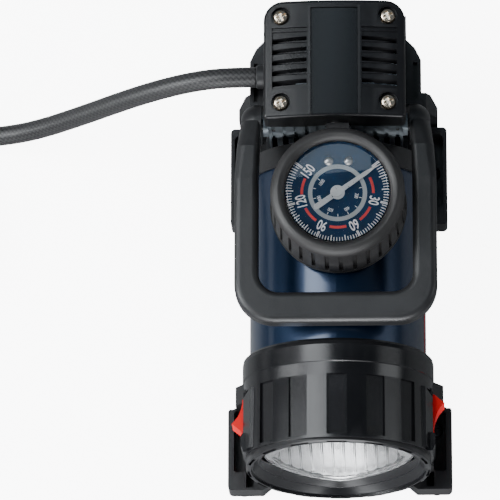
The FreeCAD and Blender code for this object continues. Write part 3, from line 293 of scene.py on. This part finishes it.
def braided(name):
    """Woven nylon sleeve: the weave's height is stored on the mesh as the attribute 'weave', and the
    colour carries painted shade, near black in the dips between the yarns.
    """
    graph = Graph(name)
    weave = graph.node("ShaderNodeAttribute", attribute_name="weave")
    fibres = graph.noise(graph.place(), 2600.0, 2.0, 0.8)
    # painted shade: the colour falls to near black where the weave is low, between and under the yarns,
    # and is the yarn's own dark grey on the crowns
    tone = graph.ramp(weave.outputs["Fac"], 0.25, 0.90, (0.001, 0.001, 0.0015),
                      (0.040, 0.039, 0.040))
    speckle = graph.ramp(fibres, 0.35, 0.75, (0.7, 0.7, 0.7), (1.5, 1.5, 1.5))
    graph.link(graph.mix(1.0, tone, speckle, "MULTIPLY"), graph.shader.inputs["Base Color"])
    graph.shader.inputs["Roughness"].default_value = 0.45
    graph.shader.inputs["Sheen Weight"].default_value = 0.08
    graph.bump(fibres, 0.00008)
    return graph.material


# ------------------------------------------------------------------ mesh helpers
BEVEL_SEGMENTS = 3
BEVEL_ANGLE = 35.0
WELD = 0.000002             # vertices closer than this are one


def new_object(name, mesh, material, body="machine"):
    piece = bpy.data.objects.new(name, mesh)
    bpy.context.scene.collection.objects.link(piece)
    mesh.materials.append(material)
    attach(piece, body)
    return piece


def mesh_of(name, vertices, faces, smooth=True):
    mesh = bpy.data.meshes.new(name)
    mesh.from_pydata(vertices, [], faces)
    mesh.update()
    for polygon in mesh.polygons:
        polygon.use_smooth = smooth
    return mesh


def welded(mesh):
    """Joins vertices in the same place and turns every face outward."""
    build = bmesh.new()
    build.from_mesh(mesh)
    bmesh.ops.remove_doubles(build, verts=build.verts, dist=WELD)
    bmesh.ops.dissolve_degenerate(build, edges=build.edges, dist=WELD / 2.0)
    bmesh.ops.recalc_face_normals(build, faces=build.faces)
    build.to_mesh(mesh)
    build.free()
    return mesh


def soften(name, width):
    """Rounds the sharp edges of a CAD node with a bevel modifier."""
    piece = NODES[name]
    bevel = piece.modifiers.new("soft_edges", "BEVEL")
    bevel.width = width
    bevel.segments = BEVEL_SEGMENTS
    bevel.limit_method = "ANGLE"
    bevel.angle_limit = math.radians(BEVEL_ANGLE)
    bevel.harden_normals = True


def paint(material, *names):
    for name in names:
        data = NODES[name].data
        data.materials.clear()
        data.materials.append(material)


# ------------------------------------------------------------------ hose
COIL_CENTRE = (-0.238, 0.0206)
COIL_RADIUS = 0.0548
COIL_FIRST, COIL_END, COIL_STEP = 10, 500, 20
LOW_TURN = 0.00535          # height of the turn on the ground, and of the one lying on it
HIGH_TURN = 0.01485
CLIMB_FROM, CLIMB_OVER = 175.0, 150.0
TAIL_RADIUS = 0.054
# distance past the coil's end, and height: the tail comes down to the chuck
TAIL = [(0.008, HIGH_TURN), (0.024, 0.01325), (0.040, 0.00925), (0.050, 0.0082), (0.062, 0.0082)]

HOSE_DIAMETER = 0.0095
SPLINE_STEPS = 12
RING_STEP = 0.00062         # between the mesh's rings along the hose
RING_POINTS = 48
BRAID_CELLS = 12            # around the sleeve
BRAID_CELL = 0.00249        # along it
BRAID_DEPTH = 0.00022
YARN_CROWN, YARN_DIP = 0.85, 0.35       # fall of a yarn across its width and towards its ends

HOSE_ROUTE = [
    (-0.0365, 0.0745, 0.0970),
    (-0.0450, 0.0745, 0.0970),
    (-0.0570, 0.0745, 0.0952),
    (-0.0690, 0.0744, 0.0899),
    (-0.0810, 0.0742, 0.0820),
    (-0.0930, 0.0740, 0.0722),
    (-0.1050, 0.0739, 0.0606),
    (-0.1170, 0.0738, 0.0484),
    (-0.1290, 0.0738, 0.0364),
    (-0.1410, 0.0738, 0.0252),
    (-0.1540, 0.0740, 0.0155),
    (-0.1700, 0.0744, 0.0086),
    (-0.1920, 0.0746, 0.0056),
    (-0.2190, 0.0746, 0.00535),
]


def coil_point(angle, radius, z):
    turn = math.radians(angle)
    return (COIL_CENTRE[0] - radius * math.sin(turn), COIL_CENTRE[1] + radius * math.cos(turn), z)


def hose_points():
    points = list(HOSE_ROUTE)
    for angle in range(COIL_FIRST, COIL_END, COIL_STEP):
        climb = min(max((angle - CLIMB_FROM) / CLIMB_OVER, 0.0), 1.0)
        climb = climb * climb * (3.0 - 2.0 * climb)
        points.append(coil_point(angle, COIL_RADIUS, LOW_TURN + (HIGH_TURN - LOW_TURN) * climb))
    end = coil_point(COIL_END, TAIL_RADIUS, HIGH_TURN)
    turn = math.radians(COIL_END)
    ahead = (-math.cos(turn), -math.sin(turn))
    for distance, z in TAIL:
        points.append((end[0] + ahead[0] * distance, end[1] + ahead[1] * distance, z))
    return points


def spline_line(points):
    """Points on the smooth NURBS line that has these control points."""
    curve = bpy.data.curves.new("route", "CURVE")
    curve.dimensions = "3D"
    curve.resolution_u = SPLINE_STEPS
    spline = curve.splines.new("NURBS")
    spline.points.add(len(points) - 1)
    for knot, point in zip(spline.points, points):
        knot.co = (*point, 1.0)
    spline.order_u = 3
    spline.use_endpoint_u = True
    holder = bpy.data.objects.new("route", curve)
    mesh = bpy.data.meshes.new_from_object(holder)
    line = [vertex.co.copy() for vertex in mesh.vertices]
    bpy.data.objects.remove(holder)
    bpy.data.curves.remove(curve)
    bpy.data.meshes.remove(mesh)
    return line


def resampled(line, step):
    """The same line with points an even step apart."""
    made = [line[0].copy()]
    carried = 0.0
    for first, second in zip(line, line[1:]):
        length = (second - first).length
        while length > 0 and carried + length >= step:
            first = first.lerp(second, (step - carried) / length)
            made.append(first.copy())
            length = (second - first).length
            carried = 0.0
        carried += length
    made.append(line[-1].copy())
    return made


def weave_height(along, around):
    """Height from 0 to 1 of a plain two-over braid at a point of the sleeve."""
    first = along + around
    second = along - around
    part_a, part_b = first % 1.0, second % 1.0
    over = (math.floor(first) + math.floor(second)) % 2 == 0
    across, length = (part_a, part_b) if over else (part_b, part_a)
    fall = YARN_CROWN * (2.0 * across - 1.0) ** 2
    return max(0.0, 1.0 - fall - YARN_DIP * (2.0 * length - 1.0) ** 2)


def make_hose():
    around = RING_POINTS
    line = resampled(spline_line(hose_points()), RING_STEP)
    vertices, weave = [], []
    side = Vector((0, 1, 0))
    distance = 0.0
    for index, point in enumerate(line):
        ahead = line[min(index + 1, len(line) - 1)] - line[max(index - 1, 0)]
        ahead.normalize()
        side = (side - ahead * side.dot(ahead)).normalized()
        other = ahead.cross(side)
        if index:
            distance += (point - line[index - 1]).length
        for spoke in range(around):
            share = spoke / around
            height = weave_height(distance / BRAID_CELL, BRAID_CELLS * share)
            radius = HOSE_DIAMETER / 2.0 - BRAID_DEPTH * (1.0 - height)
            turn = 2.0 * math.pi * share
            vertices.append(point + (side * math.cos(turn) + other * math.sin(turn)) * radius)
            weave.append(height)
    faces = []
    for ring in range(len(line) - 1):
        for spoke in range(around):
            after = (spoke + 1) % around
            faces.append((ring * around + spoke, ring * around + after,
                          (ring + 1) * around + after, (ring + 1) * around + spoke))
    faces.append(tuple(reversed(range(around))))
    faces.append(tuple((len(line) - 1) * around + spoke for spoke in range(around)))
    mesh = mesh_of("hose", vertices, faces)
    layer = mesh.attributes.new("weave", "FLOAT", "POINT")
    layer.data.foreach_set("value", weave)
    hose = new_object("hose", mesh, braided("nylon_braid"))
    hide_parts("air_hose", "hose_coil", "hose_tail")
    length = sum((second - first).length for first, second in zip(line, line[1:]))
    print("hose length", round(length, 4))


# ------------------------------------------------------------------ gauge dial print
DIAL_CENTRE = (0.0013, 0.0125)
DIAL_TOP = 0.1163
SCALE_START, SCALE_SWEEP = 52.0, 255.0
DIVISIONS = 5               # numbered divisions of the outer scale, 30 apart
TICKS = 75                  # small divisions of the outer scale
DOUBLE_TICK_GAP = 0.8       # to either side of a numbered tick's own place
RED_ARC_HALF = 13.5
INNER_TICKS, INNER_STEP = 11, 25.5
INNER_FIRST, INNER_APART = 100.0, 51.0
PRINT_THICKNESS = 0.00008
NUMBER_LIFT = 0.00006       # middle of a number's thickness above the dial
NUMBER_EXTRUDE = 0.00004
CAP_HEIGHT = 0.72           # a digit's height as a share of the font's size
ARC_STEP = 3.0


def clock(radius, degrees):
    """Point on the dial at degrees clockwise from +Y."""
    turn = math.radians(degrees)
    return (DIAL_CENTRE[0] + radius * math.sin(turn), DIAL_CENTRE[1] + radius * math.cos(turn))


def plate(build, points, z):
    """Adds a thin flat polygon to a bmesh."""
    low = [build.verts.new((x, y, z)) for x, y in points]
    high = [build.verts.new((x, y, z + PRINT_THICKNESS)) for x, y in points]
    build.faces.new(high)
    build.faces.new(list(reversed(low)))
    for index in range(len(points)):
        after = (index + 1) % len(points)
        build.faces.new((low[index], low[after], high[after], high[index]))


def arc_band(build, inner, outer, start, end, z):
    """Adds a flat band between two radii, made of short plates."""
    steps = max(2, int(abs(end - start) / ARC_STEP))
    for step in range(steps):
        first = start + (end - start) * step / steps
        second = start + (end - start) * (step + 1) / steps
        corners = [clock(inner, first), clock(inner, second), clock(outer, second), clock(outer, first)]
        plate(build, corners, z)


def tick(build, inner, outer, width, degrees, z):
    x0, y0 = clock(inner, degrees)
    x1, y1 = clock(outer, degrees)
    turn = math.radians(degrees)
    dx, dy = math.cos(turn) * width / 2.0, -math.sin(turn) * width / 2.0
    corners = [(x0 - dx, y0 - dy), (x1 - dx, y1 - dy), (x1 + dx, y1 + dy), (x0 + dx, y0 + dy)]
    plate(build, corners, z)


def finish_mesh(build, name):
    bmesh.ops.recalc_face_normals(build, faces=build.faces)
    mesh = bpy.data.meshes.new(name)
    build.to_mesh(mesh)
    build.free()
    return mesh


def number(build, text, radius, degrees, height, z, width, weight):
    """Adds a number whose top points away from the dial's centre.

    width squeezes it sideways, and weight thickens its strokes by a share of its height.
    """
    curve = bpy.data.curves.new("number", "FONT")
    curve.body = text
    curve.align_x = "CENTER"
    curve.align_y = "CENTER"
    curve.size = height / CAP_HEIGHT
    curve.extrude = NUMBER_EXTRUDE
    curve.offset = height * weight
    holder = bpy.data.objects.new("number", curve)
    mesh = bpy.data.meshes.new_from_object(holder)
    x, y = clock(radius, degrees)
    squeeze = Matrix.Diagonal((width, 1.0, 1.0, 1.0))
    turn = Matrix.Rotation(-math.radians(degrees), 4, "Z")
    mesh.transform(Matrix.Translation((x, y, z)) @ turn @ squeeze)
    build.from_mesh(mesh)
    bpy.data.objects.remove(holder)
    bpy.data.curves.remove(curve)
    bpy.data.meshes.remove(mesh)


def make_dial_print():
    """The dial's numbers and ticks, its red arcs, and the grey ring between its two scales."""
    z = DIAL_TOP
    number_z = z + NUMBER_LIFT
    white = bmesh.new()
    for index in range(1, DIVISIONS + 1):
        degrees = SCALE_START + SCALE_SWEEP * index / DIVISIONS
        number(white, str(30 * index), 0.0167, degrees, 0.0047, number_z, 0.66, 0.022)
    for index in range(TICKS + 1):
        degrees = SCALE_START + SCALE_SWEEP * index / TICKS
        if index % 15 == 0:
            tick(white, 0.0199, 0.0229, 0.00040, degrees - DOUBLE_TICK_GAP, z)
            tick(white, 0.0199, 0.0229, 0.00040, degrees + DOUBLE_TICK_GAP, z)
        elif index % 5 == 0:
            tick(white, 0.0201, 0.0229, 0.00048, degrees, z)
        else:
            tick(white, 0.0209, 0.0228, 0.00036, degrees, z)
    for index in range(INNER_TICKS):
        tick(white, 0.0100, 0.0112, 0.00026, SCALE_START + INNER_STEP * index, z)
    for index, text in enumerate(("200", "400", "600", "800", "1000")):
        number(white, text, 0.0086, INNER_FIRST + INNER_APART * index, 0.0017, number_z, 0.7, 0.0)
    white_mesh = finish_mesh(white, "dial_marks")
    new_object("dial_marks", white_mesh, plain("print_white", (0.86, 0.88, 0.90), 0.5))
    red = bmesh.new()
    for index in range(DIVISIONS):
        middle = SCALE_START + SCALE_SWEEP * (index + 0.5) / DIVISIONS
        arc_band(red, 0.0156, 0.0168, middle - RED_ARC_HALF, middle + RED_ARC_HALF, z)
    red_mesh = finish_mesh(red, "dial_red")
    new_object("dial_red", red_mesh, plain("print_red", (0.70, 0.03, 0.03), 0.45))
    ring = bmesh.new()
    arc_band(ring, 0.0114, 0.0134, 0.0, 360.0, z)
    ring_mesh = finish_mesh(ring, "dial_ring")
    new_object("dial_ring", ring_mesh, plain("print_grey", (0.34, 0.37, 0.39), 0.4))


def make_gauge_glass():
    """Slightly domed glass in place of the flat disc."""
    low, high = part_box("gauge_glass")
    radius = (high[0] - low[0]) / 2.0
    middle = ((high[0] + low[0]) / 2.0, (high[1] + low[1]) / 2.0)
    rings, spokes = 16, 96
    rim = 0.0003
    rise = high[2] - low[2] - rim
    vertices, faces = [], []
    for side in (0, 1):
        for ring in range(rings + 1):
            share = ring / rings
            for spoke in range(spokes):
                turn = 2.0 * math.pi * spoke / spokes
                z = low[2] if side else high[2] - rise * share * share
                vertices.append((middle[0] + radius * share * math.cos(turn),
                                 middle[1] + radius * share * math.sin(turn), z))
    count = (rings + 1) * spokes
    for ring in range(rings):
        for spoke in range(spokes):
            after = (spoke + 1) % spokes
            quad = [ring * spokes + spoke, (ring + 1) * spokes + spoke,
                    (ring + 1) * spokes + after, ring * spokes + after]
            faces.append(quad)
            faces.append([index + count for index in reversed(quad)])
    for spoke in range(spokes):
        after = (spoke + 1) % spokes
        edge = rings * spokes
        faces.append([edge + spoke, edge + count + spoke, edge + count + after, edge + after])
    mesh = welded(mesh_of("domed_glass", vertices, faces))
    piece = new_object("domed_glass", mesh, glass("gauge_clear", 0.01))
    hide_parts("gauge_glass")


# ------------------------------------------------------------------ lamp lens
LAMP_FACE_Y = -0.10135
LAMP_TILT = math.radians(-5.37)
EYE_X, EYE_Z, EYE_POWER = 0.0344, 0.0356, 1.5       # half width, half height and shape of the lens
LENS_FRONT, LENS_BACK = 0.0067, 0.0100              # depths behind the bezel's front plane
LENS_COLUMNS, LENS_ROWS = 300, 44
FLUTE = 0.0050              # width of one flute, with a rib between two
FIELD_EDGE, FIELD_BLEND = 0.90, 0.05    # share of the opening where the flat flange starts
BAND_Z, BAND_BLEND = -0.0235, 0.001     # below this the flutes are set off by half a flute
WAVE = 0.0002               # depth of a flute
RIB_HEIGHT, RIB_WIDTH = 0.0003, 0.00042
FIELD_SINK, DOME = 0.0009, 0.0014
THINNEST = 1e-7             # keeps the lens's two side points from closing to nothing


def lamp_place(x, depth, z):
    """Point given as sideways, back from the bezel's front plane, and up from the lamp's axis."""
    turn = Matrix.Rotation(LAMP_TILT, 3, "X")
    return Vector((0, LAMP_FACE_Y, AXIS_Z)) + turn @ Vector((x, depth, z))


def lens_depth(x, z, back):
    """Depth of the lens's front or back face.

    The front is a flat flange around a domed field with thin ribs, and the back has soft flutes.
    """
    share = (abs(x / EYE_X) ** EYE_POWER + abs(z / EYE_Z) ** EYE_POWER) ** (1.0 / EYE_POWER)
    field = min(max((FIELD_EDGE - share) / FIELD_BLEND, 0.0), 1.0)
    if back:
        lower = min(max((BAND_Z - z) / BAND_BLEND, 0.0), 1.0)
        wave = 0.5 - 0.5 * math.cos(2.0 * math.pi * x / FLUTE)
        return LENS_BACK - field * WAVE * (wave * (1.0 - lower) + (1.0 - wave) * lower)
    off_rib = ((x / FLUTE) % 1.0 - 0.5) * FLUTE
    rib = math.exp(-(off_rib / RIB_WIDTH) ** 2)
    return LENS_FRONT + field * (FIELD_SINK - DOME * (1.0 - share * share) - RIB_HEIGHT * rib)


def make_lens():
    columns, rows = LENS_COLUMNS, LENS_ROWS
    vertices, faces = [], []
    for back in (0, 1):
        for column in range(columns + 1):
            x = -EYE_X * math.cos(math.pi * column / columns)
            half = EYE_Z * max(1.0 - abs(x / EYE_X) ** EYE_POWER, THINNEST) ** (1.0 / EYE_POWER)
            for row in range(rows + 1):
                z = -half * math.cos(math.pi * row / rows)
                vertices.append(lamp_place(x, lens_depth(x, z, back), z))
    count = (columns + 1) * (rows + 1)

    def at(back, column, row):
        return back * count + column * (rows + 1) + row

    for column in range(columns):
        for row in range(rows):
            quad = (at(0, column, row), at(0, column + 1, row),
                    at(0, column + 1, row + 1), at(0, column, row + 1))
            faces.append(quad)
            faces.append(tuple(reversed([index + count for index in quad])))
        for row, flip in ((0, True), (rows, False)):
            quad = [at(0, column, row), at(0, column + 1, row),
                    at(1, column + 1, row), at(1, column, row)]
            faces.append(tuple(reversed(quad)) if flip else tuple(quad))
    mesh = welded(mesh_of("lens", vertices, faces))
    lens = new_object("lens_fluted", mesh, glass("lens_clear", 0.06))
    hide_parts("lamp_lens")


# ------------------------------------------------------------------ line on the motor can
LABEL_INNER, LABEL_OUTER = 0.04102, 0.04110         # radii, just outside the can
LABEL_FRONT_Y, LABEL_REAR_Y = -0.0480, 0.0250
LABEL_STEPS = 4
# name, first and last angle from the can's top, colour, slot
LABEL_BANDS = [
    ("label_red", 78.0, 80.2, (0.55, 0.02, 0.03), "red_plastic"),
    ("label_pale", 80.2, 81.2, (0.55, 0.56, 0.58), "silver"),
]


def make_label_line():
    """Thin red line along the can's right side, with a pale edge."""
    skin = 2 * (LABEL_STEPS + 1)
    end = 2 * LABEL_STEPS
    for name, first, last, colour, slot in LABEL_BANDS:
        vertices, faces = [], []
        for radius in (LABEL_INNER, LABEL_OUTER):
            for step in range(LABEL_STEPS + 1):
                turn = math.radians(first + (last - first) * step / LABEL_STEPS)
                for y in (LABEL_FRONT_Y, LABEL_REAR_Y):
                    vertices.append((radius * math.sin(turn), y, AXIS_Z + radius * math.cos(turn)))
        for low in range(0, end, 2):
            faces.append((low, low + 1, low + 3, low + 2))
            faces.append((low + skin, low + skin + 2, low + skin + 3, low + skin + 1))
            faces.append((low, low + 2, low + skin + 2, low + skin))
            faces.append((low + 1, low + skin + 1, low + skin + 3, low + 3))
        faces.append((0, skin, skin + 1, 1))
        faces.append((end, end + 1, end + skin + 1, end + skin))
        mesh = welded(mesh_of(name, vertices, faces, False))
        new_object(name, mesh, plain(name, colour, 0.35))


# ------------------------------------------------------------------ materials on the CAD pieces
def dress():
    navy = enamel("navy_enamel", (0.0006, 0.016, 0.052), 0.28, metallic=0.65, coat=0.8)
    cover = moulded("cover_plastic", (0.006, 0.006, 0.007), 0.30, 1500.0, 0.00004, 0.25, 0.02,
                    specular=0.4)
    housing = moulded("lamp_plastic", (0.005, 0.005, 0.006), 0.22, 1800.0, 0.00002, 0.2, 0.015,
                      specular=0.45)
    foot = moulded("foot_plastic", (0.008, 0.008, 0.009), 0.38, 1400.0, 0.00005, 0.25, 0.02,
                   specular=0.35)
    satin = moulded("bezel_plastic", (0.004, 0.004, 0.005), 0.30, 900.0, 0.00002, 0.15, 0.02)
    glossy = moulded("gloss_plastic", (0.006, 0.006, 0.007), 0.12, 800.0, 0.00001, 0.15, 0.02)
    grip = moulded("grip_rubber", (0.017, 0.017, 0.018), 0.42, 2200.0, 0.00005, 0.2, 0.02)
    rubber = moulded("boot_rubber", (0.022, 0.021, 0.021), 0.5, 2000.0, 0.00006, 0.25, 0.02)
    fitting = moulded("fitting_black", (0.007, 0.007, 0.008), 0.4, 1200.0, 0.00003, 0.2, 0.03)
    red = moulded("rocker_red", (0.70, 0.006, 0.006), 0.45, 900.0, 0.00001, 0.06, 0.0,
                  specular=0.2)
    fins = moulded("cast_fins", (0.26, 0.30, 0.33), 0.40, 900.0, 0.00008, 0.2, 0.10,
                   metallic=0.5)
    steel = metal("bright_steel", (0.62, 0.63, 0.65), 0.3, (1, 14, 1))
    zinc = metal("pale_zinc", (1.0, 0.84, 0.66), 0.22, (1, 1, 1), 700.0, stain=0.12)
    brass = metal("brass", (0.78, 0.58, 0.26), 0.3, (1, 1, 1), 500.0, 0.000004, 0.12)
    copper = metal("copper_wire", (0.75, 0.36, 0.20), 0.35, (1, 30, 1), 900.0, 0.0002)
    chrome = metal("reflector_chrome", (0.99, 0.99, 1.0), 0.48, (1, 1, 1), 120.0, 0.00001, 0.02)
    silver = metal("needle_silver", (0.62, 0.61, 0.60), 0.34, (1, 1, 1), 900.0)
    oxide = metal("black_oxide", (0.09, 0.09, 0.095), 0.35, (1, 1, 1), 700.0)
    iron = moulded("magnet_ferrite", (0.05, 0.05, 0.055), 0.6, 900.0, 0.0001, 0.3, 0.03)
    dial = moulded("dial_navy", (0.001, 0.026, 0.072), 0.5, 1600.0, 0.00001, 0.05, 0.0,
                   specular=0.1)
    badge = enamel("badge_black", (0.005, 0.006, 0.007), 0.24, specular=0.3)
    paint(navy, "motor_can")
    paint(cover, "top_cover", "rear_cover")
    paint(foot, "rear_housing", "front_foot", "rear_foot", "crankcase_plate", "cooling_fan",
          "lamp_socket", "left_switch_body", "right_switch_body")
    paint(housing, "lamp_housing")
    paint(satin, "lamp_bezel")
    paint(glossy, "chuck_lever")
    paint(fitting, "hose_ferrule", "gauge_stem", "handle_pivot_pins", "outlet_fitting")
    paint(oxide, "housing_screws")
    paint(badge, "badge_plate")
    paint(grip, "carry_handle")
    paint(rubber, "gauge_boot", "foot_pads", "power_cord_gland", "piston_cup", "hose_tie")
    paint(red, "left_rocker", "right_rocker")
    paint(fins, "cylinder_block", "cylinder_head")
    paint(steel, "motor_shaft", "crank_shaft", "valve_plate", "head_bolts", "drive_pinion",
          "crank_gear", "rotor_core", "motor_front_bell", "motor_rear_bell", "chuck_pin",
          "piston_rod", "gauge_case")
    paint(zinc, "cover_screws")
    paint(brass, "bourdon_tube", "shaft_bushes", "chuck_body")
    paint(copper, "rotor_windings", "commutator")
    paint(iron, "motor_magnets", "motor_brushes")
    paint(chrome, "reflector")
    paint(glass("bulb_clear", 0.02), "lamp_bulb", "lamp_lens")
    paint(glass("gauge_flat", 0.01), "gauge_glass")
    paint(silver, "gauge_needle", "dial_rivets")
    paint(dial, "gauge_dial")
    paint(braided("coil_braid"), "air_hose", "hose_coil", "hose_tail")


EDGE_WIDTHS = {
    "top_cover": 0.0007, "lamp_housing": 0.0006, "front_foot": 0.0007, "rear_foot": 0.0007,
    "rear_housing": 0.0007, "cylinder_block": 0.0003, "lamp_bezel": 0.0003,
    "left_rocker": 0.0005, "right_rocker": 0.0005, "gauge_boot": 0.0005, "rear_cover": 0.0006,
    "badge_plate": 0.0002, "left_switch_body": 0.0003, "right_switch_body": 0.0003,
    "carry_handle": 0.0006,
}


def soften_edges():
    for name, width in EDGE_WIDTHS.items():
        soften(name, width)


make_camera()
make_stage()
make_hose()
dress()
soften_edges()
make_dial_print()
make_gauge_glass()
make_lens()
make_label_line()

bpy.context.view_layer.update()
